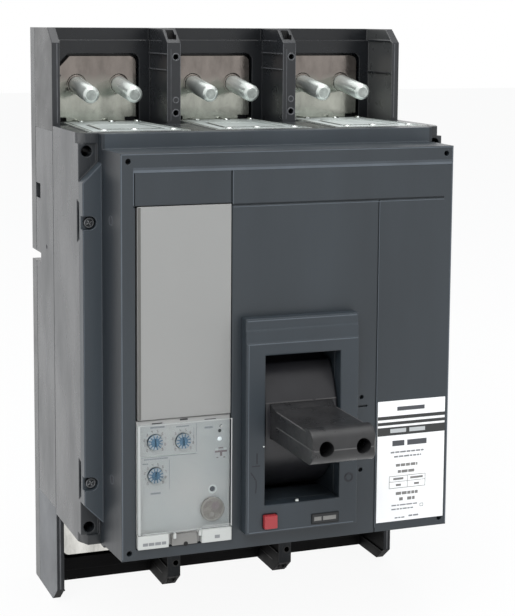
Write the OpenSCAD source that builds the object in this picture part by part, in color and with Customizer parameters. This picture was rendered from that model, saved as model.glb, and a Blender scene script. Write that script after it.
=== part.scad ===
// Three-pole molded case circuit breaker, fixed type, with a toggle handle.
// X runs across the poles, Z up, and the front of the breaker faces -Y.
// The origin is the middle of the flat back, on the face that meets the mounting plate.
// "Depth" below is the distance in front of that back face, so depth d lies at Y = -d.

/* [Case] */
// Distance between neighbouring poles
pole_pitch = 70; // [60:1:84]
// Distance from an outer pole's middle to the side of the case
pole_side = 35; // [30:0.5:42]
// Height of the base between its two terminal housings
base_h = 214; // [178:1:260]
// Height of a terminal housing above the base
housing_h = 56.5; // [47:0.5:70]
// Thickness of the rear plate
rear_plate_t = 11; // [8:0.5:14]
// Thickness of the base in front of the rear plate
base_t = 42; // [35:1:52]
// Thickness of the middle case in front of the base
mid_t = 58; // [48:1:70]
// Thickness of the cover's flange
flange_t = 7; // [5:0.5:10]
// Thickness of the cover in front of its flange
cover_t = 29; // [24:0.5:35]

/* [Terminal housings] */
// Thickness of an outer partition wall
outer_wall_t = 4.5; // [3:0.5:8]
// Thickness of an inner partition wall
inner_wall_t = 8; // [5:0.5:12]
// Thickness of the back wall in front of the rear plate
back_wall_t = 9; // [7:0.5:14]
// Thickness of the floor in front of the back wall
floor_t = 1.5; // [1:0.1:3]
// Height of the sloped corner at a wall's free end
wall_slope_h = 8; // [4:0.5:14]
// Depth of the sloped corner at a wall's free end
wall_slope_d = 10; // [5:0.5:16]
// Height of the thin lip at the back wall's free edge
lip_h = 7; // [4:0.5:12]

/* [Terminals] */
// Width of a terminal bar
terminal_w = 46; // [42:1:52]
// Thickness of a terminal bar
terminal_t = 8; // [5:0.5:10]
// Height of the terminal bar's end above the base
terminal_h = 40.5; // [34:0.5:44]
// Gap between a terminal bar and its window
terminal_gap = 1.2; // [0.4:0.1:2]
// Distance between the two bolts of a terminal
bolt_pitch = 25; // [20:0.5:28]
// Radius of a terminal bolt
bolt_r = 4.8; // [3:0.1:6]
// Clearance around a terminal bolt in its bar
bolt_clear = 0.2; // [0.1:0.1:0.8]
// Length of an upper terminal bolt in front of its bar
bolt_len = 33; // [20:1:50]
// Length of a lower terminal bolt in front of its bar
low_bolt_len = 13; // [10:1:50]
// Height of the terminal bolts above the base
bolt_h = 24; // [16:0.5:30]
// Downward slant of a loose terminal bolt, in degrees
bolt_slant = 8; // [0:1:10]

/* [Vent plates] */
// Width of a vent plate at its front edge
vent_w = 56; // [46:1:60]
// Amount by which each side of the plate comes in towards the rear
vent_taper = 5; // [0:0.5:8]
// Thickness of a vent plate
vent_t = 1.5; // [1:0.1:2.5]
// Distance from the middle case's front back to the vent plate
vent_rim = 6; // [3:0.5:12]
// Clearance around a vent plate
vent_gap = 0.3; // [0.1:0.1:1]

/* [Cover] */
// Distance from the side of the case to the side of the cover's front
cover_inset = 12; // [8:0.5:18]
// Distance from the middle case's top down to the cover's top
cover_top_inset = 8; // [4:0.5:14]
// Distance from the middle case's bottom up to the cover's bottom
cover_bottom_inset = 1.5; // [0.5:0.5:6]
// Draft of the cover's sides, from the flange to the front
cover_draft = 1.8; // [0:0.1:3]
// Distance from the cover's side to the trip unit window
trip_inset = 7.5; // [6:0.5:12]
// Distance from the trip unit window to the escutcheon
trip_gap = 5.25; // [3:0.25:10]
// Distance from the cover's top down to the trip unit window
trip_top_inset = 26.5; // [20:0.5:34]
// Distance from the cover's bottom up to the trip unit window
trip_bottom_inset = 5.5; // [3:0.5:10]
// Depth of the trip unit window behind the cover's front
trip_recess = 22; // [16:0.5:26]
// Height of the line between the blank panel and the trip unit
panel_line = -35; // [-42:0.5:-25]
// Clearance around the pieces set in the cover
fit_gap = 0.5; // [0.2:0.1:1]

/* [Trip unit] */
// Radius of an adjustment dial
dial_r = 3.8; // [2.5:0.1:5]
// Distance the dials stand out of the trip unit
dial_t = 1.4; // [0.8:0.1:1.8]
// Running clearance around a dial
dial_gap = 0.3; // [0.1:0.1:0.6]
// Thickness of the clear cover
clear_t = 1.5; // [1:0.1:1.8]
// Distance from the cover's front to the clear cover's front
clear_proud = 2.4; // [2:0.1:4]
// Height of the strips below the clear cover
strip_h = 7.2; // [5:0.1:10]

/* [Toggle] */
// Sideways offset of the toggle and its escutcheon
toggle_x = 3.5; // [0:0.5:6]
// Height of the toggle's axis
toggle_z = -41; // [-46:0.5:-36]
// Distance from the cover's front back to the toggle's axis
toggle_inset = 38.5; // [36:0.5:46]
// Outer radius of the curved barrel
barrel_r = 45; // [38:0.5:48]
// Width of the barrel
barrel_w = 41; // [30:0.5:46]
// Running clearance around the barrel
barrel_gap = 2; // [1:0.1:3]
// Depth of the step from the barrel's face down to the shield above it
shield_step = 6; // [3:0.5:10]
// Running clearance at each side of the barrel
side_gap = 0.8; // [0.4:0.1:2]
// Width of the handle
handle_w = 34; // [26:0.5:38]
// Widening of each side of the handle at its root
handle_flare = 1.5; // [0:0.25:2]
// Height of the handle
handle_h = 16; // [12:0.5:20]
// Length of the handle in front of the escutcheon
handle_len = 55; // [40:1:66]
// Radius of the toggle's pivot pin
pivot_r = 4; // [2.5:0.5:6]

/* [Escutcheon] */
// Width of the escutcheon
esc_w = 63.5; // [56:0.5:76]
// Distance the escutcheon stands out of the cover
esc_proud = 8; // [5:0.5:12]
// Height of the handle window
window_h = 80; // [70:0.5:84]
// Distance from the toggle's axis down to the middle of the window
window_drop = 3; // [0:0.5:5]
// Height of the escutcheon above its window
esc_head = 19.5; // [14:0.5:26]
// Height of the escutcheon below its window
esc_foot = 15; // [12:0.5:17]
// Size of the square trip button
button_s = 7.2; // [5:0.1:9]

/* [Fixings] */
// Distance from the side of the case to a mounting hole
mount_edge_x = 4.5; // [4.5:0.1:8]
// Distance from the middle case's top to a mounting hole
mount_edge_z = 9.5; // [8:0.5:14]
// Radius of a mounting hole
mount_r = 2.9; // [2:0.1:3.2]
// Distance from an upper mounting hole down to its flange screw
screw_drop = 36.5; // [24:0.5:50]
// Distance from a lower mounting hole up to its flange screw
screw_rise = 26; // [20:0.5:40]

/* [Hidden] */
$fn = 48;

// case
half_w = pole_pitch + pole_side;
joint_z = base_h / 2;
half_h = joint_z + housing_h;
mid_top = joint_z + floor_t + vent_t;
base_d = rear_plate_t + base_t;
mid_d = base_d + mid_t;
flange_d = mid_d + flange_t;
cover_d = flange_d + cover_t;
mount_x = half_w - mount_edge_x;
mount_z = mid_top - mount_edge_z;
seam = 0.6;

// cut corners of the cover's flange, which leave the mounting holes free
corner_in = mount_x - 5.8;
corner_up = mount_z - 5.5;
corner_low = -mount_z + 4;
corner_slope = half_w - corner_in;

// terminal housings
back_wall_d = rear_plate_t + back_wall_t;
lip_t = 6;
inner_wall_x = pole_pitch / 2;
compartment_out = half_w - outer_wall_t;

// terminals, whose bars have round corners but for an upper one that is cut off straight
seat_d = rear_plate_t + terminal_t;
bar_corner_r = 4;
bar_cut = 6.5;
foot_h = 5;
shank_r = bolt_r - 0.3;
bar_hole_r = shank_r / cos(bolt_slant) + terminal_t / 2 * tan(bolt_slant) + bolt_clear;

// vent plates, which lie on the floor of the compartments
vent_z = joint_z + floor_t;
vent_back_d = back_wall_d + 1.5;
vent_front_d = mid_d - vent_rim;

// toggle and escutcheon
toggle_d = cover_d - toggle_inset;
pocket_r = barrel_r + barrel_gap;
window_w = barrel_w + 2 * side_gap;
window_left = toggle_x - window_w / 2;
window_right = toggle_x + window_w / 2;
window_top = toggle_z - window_drop + window_h / 2;
window_bottom = window_top - window_h;
pivot_clear = 0.05;
pivot_seat = 6;
barrel_up = 40;
shield_up = 85;
barrel_down = 78;
esc_left = toggle_x - esc_w / 2;
esc_right = toggle_x + esc_w / 2;
esc_top = window_top + esc_head;
esc_bottom = window_bottom - esc_foot;
esc_d = cover_d + esc_proud;
handle_d = esc_d + handle_len;

// trip button in the foot of the escutcheon
button_x = esc_left + 13.5;
button_z = esc_bottom + 6.2;
button_gap = 0.3;
button_guide = 14;
button_travel = 3;

// cover
cover_half = half_w - cover_inset;
cover_top = mid_top - cover_top_inset;
cover_bottom = mid_top - cover_bottom_inset;
trip_x = -cover_half + trip_inset;
trip_right = esc_left - trip_gap;
trip_top = cover_top - trip_top_inset;
trip_bottom = -cover_bottom + trip_bottom_inset;
trip_front_d = cover_d - trip_recess;
pilot_x = cover_half - 4;
pilot_z = [cover_top - 4, -cover_bottom + 4];
pilot_r = 1.45;
pilot_depth = 12;
column_x = esc_right + 13.75;
band_z = cover_top - 9;
groove = 0.8;

// trip unit
unit_front_d = cover_d - 1.2;
clear_front_d = cover_d + clear_proud;
unit_left = trip_x + fit_gap;
unit_right = trip_right - fit_gap;
unit_bottom = trip_bottom + fit_gap;
clear_top = panel_line - 2;
strip_top = unit_bottom + strip_h;
dial_x = [trip_x + 10.5, trip_x + 25.7, trip_x + 10.7];
dial_z = [panel_line - 12, panel_line - 12.6, panel_line - 29.5];
dial_depth = 3;
seal_x = trip_right - 10.3;
seal_z = trip_bottom + 17.5;
seal_r = 6.5;
left_strip_w = 16.5;
tab_w = 14;
strip_space = 2;

// labels
label_t = 0.5;
nameplate_top = panel_line - 1;

// screws
screw_x = half_w - 3.8;
screw_z = [mount_z - screw_drop, -mount_z + screw_rise];
screw_shank_r = 1.5;
screw_head_r = 2.7;
screw_head_h = 2.2;
screw_recess_r = 3.5;
screw_recess = 4;
screw_depth = 8;

// A box between two X, two depths and two Z
module block(x0, x1, d0, d1, z0, z1) {
    translate([x0, -d1, z0]) cube([x1 - x0, d1 - d0, z1 - z0]);
}

// An X-Z outline with thickness from depth d0 to d1
module slab(points, d0, d1) {
    translate([0, -d0, 0]) rotate([90, 0, 0]) linear_extrude(d1 - d0) polygon(points);
}

// A depth-Z outline with width from x0 to x1
module side(points, x0, x1) {
    translate([x1, 0, 0]) rotate([90, 0, -90]) linear_extrude(x1 - x0) polygon(points);
}

// An X-Y outline, its Y negative in front, with height from z0 to z1
module plan(points, z0, z1) {
    translate([0, 0, z0]) linear_extrude(z1 - z0) polygon(points);
}

// A round bar along Y from depth d0 to d1
module rod(x, z, r, d0, d1) {
    translate([x, -d0, z]) rotate([90, 0, 0]) cylinder(r = r, h = d1 - d0);
}

// A round bar along X from x0 to x1 at depth d
module axle(d, z, r, x0, x1) {
    translate([x0, -d, z]) rotate([0, 90, 0]) cylinder(r = r, h = x1 - x0);
}

// The toggle's pivot, held in the case at both ends
module pivot() {
    axle(toggle_d, toggle_z, pivot_r, window_left - pivot_seat, window_right + pivot_seat);
}

module both_sides() {
    children();
    mirror([1, 0, 0]) children();
}

// The lower end is the upper end's mirror image
module lower() {
    mirror([0, 0, 1]) children();
}

module mounting_holes(d0, d1) {
    for (x = [-mount_x, mount_x], z = [-mount_z, mount_z]) rod(x, z, mount_r, d0, d1);
}

// ---------------------------------------------------------------- rear plate and base

// A notch in both sides of the case, cut in by amount from the side
module side_notch(amount, d0, d1, z, h) {
    both_sides() block(-half_w - 1, -half_w + amount, d0, d1, z, z + h);
}

hook_z = 29;
hook_h = 6;
hook_in = 10;
hook_t = 11;

module rear_plate() {
    color([0.25, 0.27, 0.29]) difference() {
        block(-half_w, half_w, 0, rear_plate_t, -half_h, half_h);
        mounting_holes(-1, rear_plate_t + 1);
        side_notch(hook_in, -1, rear_plate_t + 1, hook_z, hook_h);
    }
}

module base() {
    color([0.28, 0.3, 0.33]) difference() {
        block(-half_w, half_w, rear_plate_t, base_d, -joint_z, joint_z);
        mounting_holes(rear_plate_t - 1, base_d + 1);
        side_notch(hook_in, rear_plate_t - 1, rear_plate_t + hook_t, hook_z, hook_h);
        side_notch(6, rear_plate_t - 1, rear_plate_t + hook_t, hook_z + 37.5, 8.5);
        side_notch(seam, rear_plate_t - 1, rear_plate_t + seam, -joint_z - 1, base_h + 2);
        // ejector mark
        both_sides() axle(rear_plate_t + 25.6, hook_z + 11.6, 1.2, -half_w - 1, -half_w + seam);
    }
}

// ---------------------------------------------------------------- terminal housings

// Outline of a partition wall, its free end sloped at the front
function wall_outline() = [
    [rear_plate_t, joint_z], [base_d, joint_z],
    [base_d, half_h - wall_slope_h], [base_d - wall_slope_d, half_h],
    [rear_plate_t, half_h]
];

// A terminal bar's end at pole p above height z, grown by gap on every side.
// The upper side has end 1 and the lower side, before it is mirrored, end -1.
module bar_end(p, end, gap, d0, d1, z) {
    x = p * pole_pitch;
    w = terminal_w / 2 + gap;
    top = joint_z + terminal_h + gap;
    cut = p < 0 && end > 0;
    left = cut ? bar_cut : bar_corner_r;
    slab([
        [x - w, z], [x + w, z], [x + w, top - bar_corner_r], [x + w - bar_corner_r, top],
        [x - w + left, top], [x - w, top - left]
    ], d0, d1);
    rod(x + w - bar_corner_r, top - bar_corner_r, bar_corner_r, d0, d1);
    if (!cut) rod(x - w + bar_corner_r, top - bar_corner_r, bar_corner_r, d0, d1);
}

// Window in the back wall that shows the terminal bar
module terminal_window(p, end) {
    bar_end(p, end, terminal_gap, rear_plate_t - 1, back_wall_d + 1, joint_z - 1);
}

// Low ribs on a wall's side from x, with their lower edges at the heights in zs
rib_t = 0.6;
module guide_ribs(x, zs) {
    intersection() {
        side(wall_outline(), x, x + rib_t);
        for (z = zs) block(x, x + rib_t, back_wall_d, base_d - 0.5, z, z + 1);
    }
}

module inner_wall(x) {
    half = inner_wall_t / 2;
    skin = 1.8;
    hole_r = 1.5;
    difference() {
        side(wall_outline(), x - half, x + half);
        // pocket in the sloped end
        block(x - half + skin, x + half - skin, base_d - wall_slope_d + 1, base_d - 2.5,
            half_h - wall_slope_h, half_h + 1);
        // screw holes for a terminal shield
        for (z = [joint_z + 9, half_h - 16]) rod(x + 1.2, z, hole_r, base_d - 12, base_d + 1);
    }
    guide_ribs(x - half - rib_t, [half_h - lip_h - 8, half_h - lip_h - 17]);
}

module terminal_housing(end) {
    difference() {
        union() {
            both_sides() {
                side(wall_outline(), -half_w, -compartment_out);
                guide_ribs(-compartment_out, [joint_z + 30, half_h - lip_h - 0.5]);
            }
            inner_wall(-inner_wall_x);
            inner_wall(inner_wall_x);
            block(-compartment_out, compartment_out, rear_plate_t, back_wall_d,
                joint_z, half_h - lip_h);
            block(-compartment_out, compartment_out, rear_plate_t, rear_plate_t + lip_t,
                half_h - lip_h, half_h);
            block(-compartment_out, compartment_out, back_wall_d, base_d, joint_z, joint_z + floor_t);
        }
        for (p = [-1:1]) terminal_window(p, end);
    }
}

module upper_terminal_housing() {
    color([0.2, 0.21, 0.23]) terminal_housing(1);
}

module lower_terminal_housing() {
    color([0.2, 0.21, 0.23]) lower() terminal_housing(-1);
}

// ---------------------------------------------------------------- middle case

corner_block_h = 5.5;
corner_chamfer_x = 3.5;
corner_chamfer_d = 8;
scoop_half = 11.5;
scoop_depth = 2;
scoop_r = (scoop_half * scoop_half + scoop_depth * scoop_depth) / (2 * scoop_depth);

// A bevel on the upright edge of the case's corner
module corner_cut() {
    plan([[-half_w - 1, -mid_d - 1], [-half_w + corner_chamfer_x, -mid_d - 1],
        [-half_w + corner_chamfer_x, -mid_d], [-half_w, -mid_d + corner_chamfer_d],
        [-half_w - 1, -mid_d + corner_chamfer_d]], mid_top - corner_block_h, mid_top + 1);
}

// A shallow recess around a mounting hole, from z_out to the flange's cut corner at z_in
module hole_recess(z_out, z_in) {
    land = 0.8;
    s = sign(z_out);
    slab([[-half_w - 1, z_out], [-corner_in - land, z_out], [-corner_in - land, z_in - s * land],
        [-half_w - 1, z_in - s * (corner_slope + 1)]], mid_d - 1.5, mid_d + 1);
}

// A vent plate's outline at pole p, grown by gap
module vent_outline(p, gap, z0, z1) {
    w = vent_w / 2 + gap;
    x = p * pole_pitch;
    plan([[x - w, -vent_front_d - gap], [x + w, -vent_front_d - gap],
        [x + w - vent_taper, -vent_back_d], [x - w + vent_taper, -vent_back_d]], z0, z1);
}

module middle_case() {
    color([0.28, 0.3, 0.33]) difference() {
        block(-half_w, half_w, base_d, mid_d, -mid_top, mid_top);
        mounting_holes(base_d - 1, mid_d + 1);
        both_sides() {
            corner_cut();
            lower() corner_cut();
            hole_recess(mid_top - corner_block_h, corner_up);
            hole_recess(-mid_top + corner_block_h, corner_low);
            for (z = screw_z) {
                rod(-half_w - scoop_r + scoop_depth, z, scoop_r, mid_d - 5, mid_d + 1);
                rod(-screw_x, z, screw_shank_r, mid_d - 10, mid_d + 1);
            }
        }
        side_notch(seam, base_d - 1, base_d + seam, -mid_top - 1, 2 * mid_top + 2);
        for (p = [-1:1]) {
            vent_outline(p, vent_gap, vent_z, mid_top + 1);
            lower() vent_outline(p, vent_gap, vent_z, mid_top + 1);
        }
        axle(toggle_d, toggle_z, pocket_r, window_left, window_right);
        block(window_left, window_right, toggle_d, mid_d + 1, window_bottom, window_top);
        pivot();
    }
}

// ---------------------------------------------------------------- front cover

// Flange outline with its four cut corners
module flange() {
    slab([
        [-corner_in, -mid_top], [corner_in, -mid_top], [corner_in, corner_low],
        [half_w, corner_low + corner_slope], [half_w, corner_up - corner_slope],
        [corner_in, corner_up],
        [corner_in, mid_top], [-corner_in, mid_top], [-corner_in, corner_up],
        [-half_w, corner_up - corner_slope], [-half_w, corner_low + corner_slope],
        [-corner_in, corner_low]
    ], mid_d, flange_d);
}

module flange_screw_seat(z) {
    rod(-screw_x, z, screw_recess_r, flange_d - screw_recess, flange_d + 1);
    block(-half_w - 1, -screw_x, flange_d - screw_recess, flange_d + 1,
        z - screw_recess_r, z + screw_recess_r);
    rod(-screw_x, z, screw_shank_r, mid_d - 1, flange_d);
}

module cover_body() {
    foot = cover_half + cover_draft;
    plan([[-foot, -flange_d], [-cover_half, -cover_d], [cover_half, -cover_d], [foot, -flange_d]],
        -cover_bottom, cover_top);
}

// A shallow scored line in the cover's front
module score(x0, x1, z0, z1) {
    block(x0, x1, cover_d - groove, cover_d + 2, z0, z1);
}

// The square hole that guides the trip button, from depth d0 to d1
module button_hole(d0, d1) {
    h = button_s / 2 + button_gap;
    block(button_x - h, button_x + h, d0, d1, button_z - h, button_z + h);
}

module front_cover() {
    key_x = esc_right + 5.5;
    key_z = nameplate_top + 3.6;
    color([0.27, 0.29, 0.32]) difference() {
        union() {
            flange();
            cover_body();
        }
        both_sides() {
            for (z = screw_z) flange_screw_seat(z);
            for (z = pilot_z) rod(-pilot_x, z, pilot_r, cover_d - pilot_depth, cover_d + 1);
        }
        // trip unit window
        block(trip_x, trip_right, trip_front_d, cover_d + 2, trip_bottom, trip_top);
        // scored lines that part the front into panels
        score(trip_x - 0.5, cover_half + 1, band_z - groove, band_z);
        score(trip_x - groove, trip_x, trip_top - 1, band_z);
        score(trip_right - groove, trip_right, trip_top - 1, band_z);
        score(trip_right, cover_half - 5, trip_top - 1.5, trip_top - 1.5 + groove);
        score(column_x, column_x + groove, -cover_bottom - 1, trip_top - 1.5);
        // pin holes and a short slot beside the escutcheon
        rod(key_x, key_z, 1.2, cover_d - 3, cover_d + 1);
        rod(key_x, key_z - 40.2, 1.2, cover_d - 3, cover_d + 1);
        block(key_x - 4.5, key_x + 3.5, cover_d - 1.5, cover_d + 1, key_z - 5.5, key_z - 4.5);
        // slot for the toggle
        block(window_left, window_right, mid_d - 1, cover_d + 2, window_bottom, window_top);
        axle(toggle_d, toggle_z, pocket_r, window_left, window_right);
        pivot();
        button_hole(cover_d - button_guide, cover_d + 1);
    }
}

module blank_panel() {
    edge = 1.2;
    color([0.63, 0.63, 0.62]) block(trip_x + edge, unit_right, trip_front_d, cover_d,
        panel_line, trip_top - fit_gap);
}

// ---------------------------------------------------------------- trip unit

module trip_unit() {
    color([0.65, 0.67, 0.67]) difference() {
        block(unit_left, unit_right, trip_front_d, unit_front_d, unit_bottom, panel_line - fit_gap);
        for (i = [0:2])
            rod(dial_x[i], dial_z[i], dial_r + dial_gap, unit_front_d - dial_depth, unit_front_d + 1);
    }
}

// The window that swings down over the dials, with a hole for a seal wire
module clear_trip_cover() {
    back = clear_front_d - clear_t;
    color([0.8, 0.85, 0.87, 0.4]) difference() {
        block(unit_left, unit_right, back, clear_front_d, strip_top + 0.4, clear_top);
        rod(unit_right - 5.6, clear_top - 4, 0.9, back - 1, clear_front_d + 1);
    }
}

module dial(i) {
    slot_w = 0.8;
    slot_t = 0.6;
    color([0.35, 0.5, 0.63]) difference() {
        rod(dial_x[i], dial_z[i], dial_r, unit_front_d - dial_depth, unit_front_d + dial_t);
        translate([dial_x[i], -unit_front_d - dial_t, dial_z[i]])
            cube([slot_w, 2 * slot_t, dial_r * 1.5], center = true);
    }
}

module seal_cap() {
    color([0.6, 0.59, 0.57]) rod(seal_x, seal_z, seal_r, unit_front_d, unit_front_d + dial_t);
}

// A strip along the foot of the trip unit, from x0 to x1, its top and front lowered by drop
module strip(x0, x1, drop) {
    block(x0, x1, unit_front_d, clear_front_d - drop, unit_bottom, strip_top - drop);
}

tab_left = unit_left + left_strip_w + strip_space;

module left_strip() {
    color([0.85, 0.85, 0.83]) strip(unit_left, unit_left + left_strip_w, 0);
}

module latch_tab() {
    color([0.6, 0.6, 0.58]) strip(tab_left, tab_left + tab_w, 1);
}

module right_strip() {
    color([0.85, 0.85, 0.83]) strip(tab_left + tab_w + strip_space, unit_right, 0);
}

// ---------------------------------------------------------------- escutcheon and toggle

module escutcheon() {
    step = 0.6;
    color([0.29, 0.31, 0.34]) difference() {
        union() {
            block(esc_left, esc_right, cover_d, esc_d - 2 * step, esc_bottom, esc_top);
            block(esc_left, esc_right, cover_d, esc_d - step, esc_bottom, esc_top - 6);
            block(esc_left, esc_right, cover_d, esc_d, esc_bottom, esc_top - 12.8);
        }
        block(window_left, window_right, cover_d - 1, esc_d + 1, window_bottom, window_top);
        button_hole(cover_d - 1, esc_d + 1);
    }
}

// A sector of the barrel with radius r, from the angle up above the handle to barrel_down below it
module barrel_sector(r, up, x0, x1) {
    reach = barrel_r * 1.6;
    intersection() {
        axle(toggle_d, toggle_z, r, x0, x1);
        side([
            [toggle_d - pivot_r - 5, toggle_z],
            [toggle_d + reach * cos(up), toggle_z + reach * sin(up)],
            [toggle_d + reach, toggle_z + reach],
            [toggle_d + reach, toggle_z - reach],
            [toggle_d + reach * cos(barrel_down), toggle_z - reach * sin(barrel_down)]
        ], x0 - 1, x1 + 1);
    }
}

// The half-round piece behind the handle, and the shield above it that closes the window when the handle is down
module barrel() {
    x0 = toggle_x - barrel_w / 2;
    x1 = toggle_x + barrel_w / 2;
    color([0.22, 0.21, 0.21]) difference() {
        union() {
            barrel_sector(barrel_r, barrel_up, x0, x1);
            barrel_sector(barrel_r - shield_step, shield_up, x0, x1);
        }
        axle(toggle_d, toggle_z, pivot_r + pivot_clear, x0 - 1, x1 + 1);
    }
}

// Handle that grows out of the barrel, wider at its root, with a raised round nose
module handle() {
    h = handle_h / 2;
    w = handle_w / 2;
    root = toggle_d + barrel_r - 5;
    bevel = 1.5;
    fillet = 2.5;
    nose_r = h + 1.2;
    nose_d = handle_d - nose_r;
    nose_z = toggle_z + 0.5;
    color([0.22, 0.21, 0.21]) difference() {
        intersection() {
            plan([
                [toggle_x - w - handle_flare, -root], [toggle_x - w, -esc_d - bevel],
                [toggle_x - w, -handle_d + bevel], [toggle_x - w + bevel, -handle_d],
                [toggle_x + w - bevel, -handle_d], [toggle_x + w, -handle_d + bevel],
                [toggle_x + w, -esc_d - bevel], [toggle_x + w + handle_flare, -root]
            ], toggle_z - h, toggle_z + 2 * h);
            union() {
                block(toggle_x - 2 * w, toggle_x + 2 * w, root, nose_d, toggle_z - h, toggle_z + h);
                // fillet along the top of the root
                side([[root, toggle_z], [root, toggle_z + h + fillet],
                    [root + 4, toggle_z + h + fillet], [root + 4 + 2 * fillet, toggle_z + h],
                    [root + 4 + 2 * fillet, toggle_z]], toggle_x - 2 * w, toggle_x + 2 * w);
                axle(nose_d, nose_z, nose_r, toggle_x - 2 * w, toggle_x + 2 * w);
            }
        }
        // cored holes in the nose
        for (s = [-1, 1])
            rod(toggle_x + s * 10, nose_z, 3.9, handle_d - 24, handle_d + 1);
        axle(toggle_d, toggle_z, barrel_r, toggle_x - 2 * w, toggle_x + 2 * w);
    }
}

module pivot_pin() {
    color([0.7, 0.7, 0.72]) pivot();
}

module trip_button() {
    h = button_s / 2;
    color([0.78, 0.28, 0.29]) block(button_x - h, button_x + h,
        cover_d - button_guide + button_travel + 1, esc_d + 2.5, button_z - h, button_z + h);
}

// ---------------------------------------------------------------- labels

module nameplate() {
    color([0.92, 0.92, 0.92]) block(column_x + 1.5, cover_half - 2, cover_d, cover_d + label_t,
        -cover_bottom + 5, nameplate_top);
}

module rating_strip() {
    color([0.16, 0.17, 0.18]) block(esc_right - 26.25, esc_right - 10.75, esc_d, esc_d + label_t,
        esc_bottom + 2, esc_bottom + 7.5);
}

// ---------------------------------------------------------------- vent plates, terminals and bolts

module vent_plate(p) {
    slot_x = 13;
    slot_w = 9;
    slot_d = vent_back_d + 17;
    color([0.72, 0.74, 0.74]) difference() {
        vent_outline(p, 0, vent_z, vent_z + vent_t);
        for (x = [p * pole_pitch - slot_x, p * pole_pitch + slot_x])
            block(x - slot_w / 2, x + slot_w / 2, slot_d, slot_d + 4, vent_z - 1, vent_z + vent_t + 1);
    }
}

// A terminal with its two bolt holes, for the upper side with end 1 or the lower side with end -1
module terminal(p, end) {
    x = p * pole_pitch;
    w = terminal_w / 2;
    foot = joint_z + foot_h;
    // each hole's middle is where the slanted bolt crosses the bar's middle
    hole_z = joint_z + bolt_h + end * terminal_t / 2 * tan(bolt_slant);
    color([0.58, 0.57, 0.53]) difference() {
        union() {
            bar_end(p, end, 0, rear_plate_t, seat_d, foot);
            block(x - w + 4, x + w - 7, rear_plate_t, seat_d, joint_z, foot);
        }
        for (s = [-1, 1])
            rod(x + s * bolt_pitch / 2, hole_z, bar_hole_r, rear_plate_t - 1, seat_d + 1);
    }
}

// The two bolts of a terminal, on the upper side with end 1 or the lower side with end -1
module bolt_pair(p, end) {
    bevel = 1.5;
    neck = 1;
    tip = end > 0 ? bolt_len : low_bolt_len;
    behind = 2 * terminal_t;
    color([0.8, 0.8, 0.78]) for (s = [-1, 1])
        translate([p * pole_pitch + s * bolt_pitch / 2, -seat_d, end * (joint_z + bolt_h)])
            difference() {
                rotate([90 + bolt_slant, 0, 0]) union() {
                    // plain shank in the bar's hole, then the thread
                    translate([0, 0, -behind]) cylinder(r = shank_r, h = behind + neck);
                    translate([0, 0, neck]) cylinder(r = bolt_r, h = tip - neck - bevel);
                    translate([0, 0, tip - bevel])
                        cylinder(r1 = bolt_r, r2 = bolt_r - bevel, h = bevel);
                }
                // flush with the front of the rear plate
                translate([-2 * bolt_r, terminal_t, -2 * behind])
                    cube([4 * bolt_r, 2 * behind, 4 * behind]);
            }
}

// ---------------------------------------------------------------- screws

// A slotted screw whose head rests at depth d
module screw(x, z, d) {
    difference() {
        union() {
            rod(x, z, screw_head_r, d, d + screw_head_h);
            rod(x, z, screw_shank_r, d - screw_depth, d);
        }
        translate([x, -d - screw_head_h, z]) rotate([0, 35, 0]) cube([0.9, 1.6, 7], center = true);
    }
}

module flange_screws() {
    color([0.75, 0.75, 0.76]) both_sides()
        for (z = screw_z) screw(-screw_x, z, flange_d - screw_recess);
}

module cover_screws() {
    color([0.1, 0.1, 0.1]) both_sides()
        for (z = pilot_z) rod(-pilot_x, z, pilot_r, cover_d - pilot_depth, cover_d - 5);
}

rear_plate();
base();
upper_terminal_housing();
lower_terminal_housing();
middle_case();
front_cover();
blank_panel();
trip_unit();
clear_trip_cover();
dial(0);  // dial_1
dial(1);  // dial_2
dial(2);  // dial_3
seal_cap();
left_strip();
latch_tab();
right_strip();
escutcheon();
barrel();
handle();
pivot_pin();
trip_button();
nameplate();
rating_strip();
vent_plate(-1);  // upper_vent_plate_1
vent_plate(0);  // upper_vent_plate_2
vent_plate(1);  // upper_vent_plate_3
lower() vent_plate(-1);  // lower_vent_plate_1
lower() vent_plate(0);  // lower_vent_plate_2
lower() vent_plate(1);  // lower_vent_plate_3
terminal(-1, 1);  // upper_terminal_1
terminal(0, 1);  // upper_terminal_2
terminal(1, 1);  // upper_terminal_3
lower() terminal(-1, -1);  // lower_terminal_1
lower() terminal(0, -1);  // lower_terminal_2
lower() terminal(1, -1);  // lower_terminal_3
bolt_pair(-1, 1);  // upper_bolts_1
bolt_pair(0, 1);  // upper_bolts_2
bolt_pair(1, 1);  // upper_bolts_3
bolt_pair(-1, -1);  // lower_bolts_1
bolt_pair(0, -1);  // lower_bolts_2
bolt_pair(1, -1);  // lower_bolts_3
flange_screws();
cover_screws();
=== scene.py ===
import math
import random

import bmesh
import bpy
from mathutils import Matrix, Vector


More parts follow.
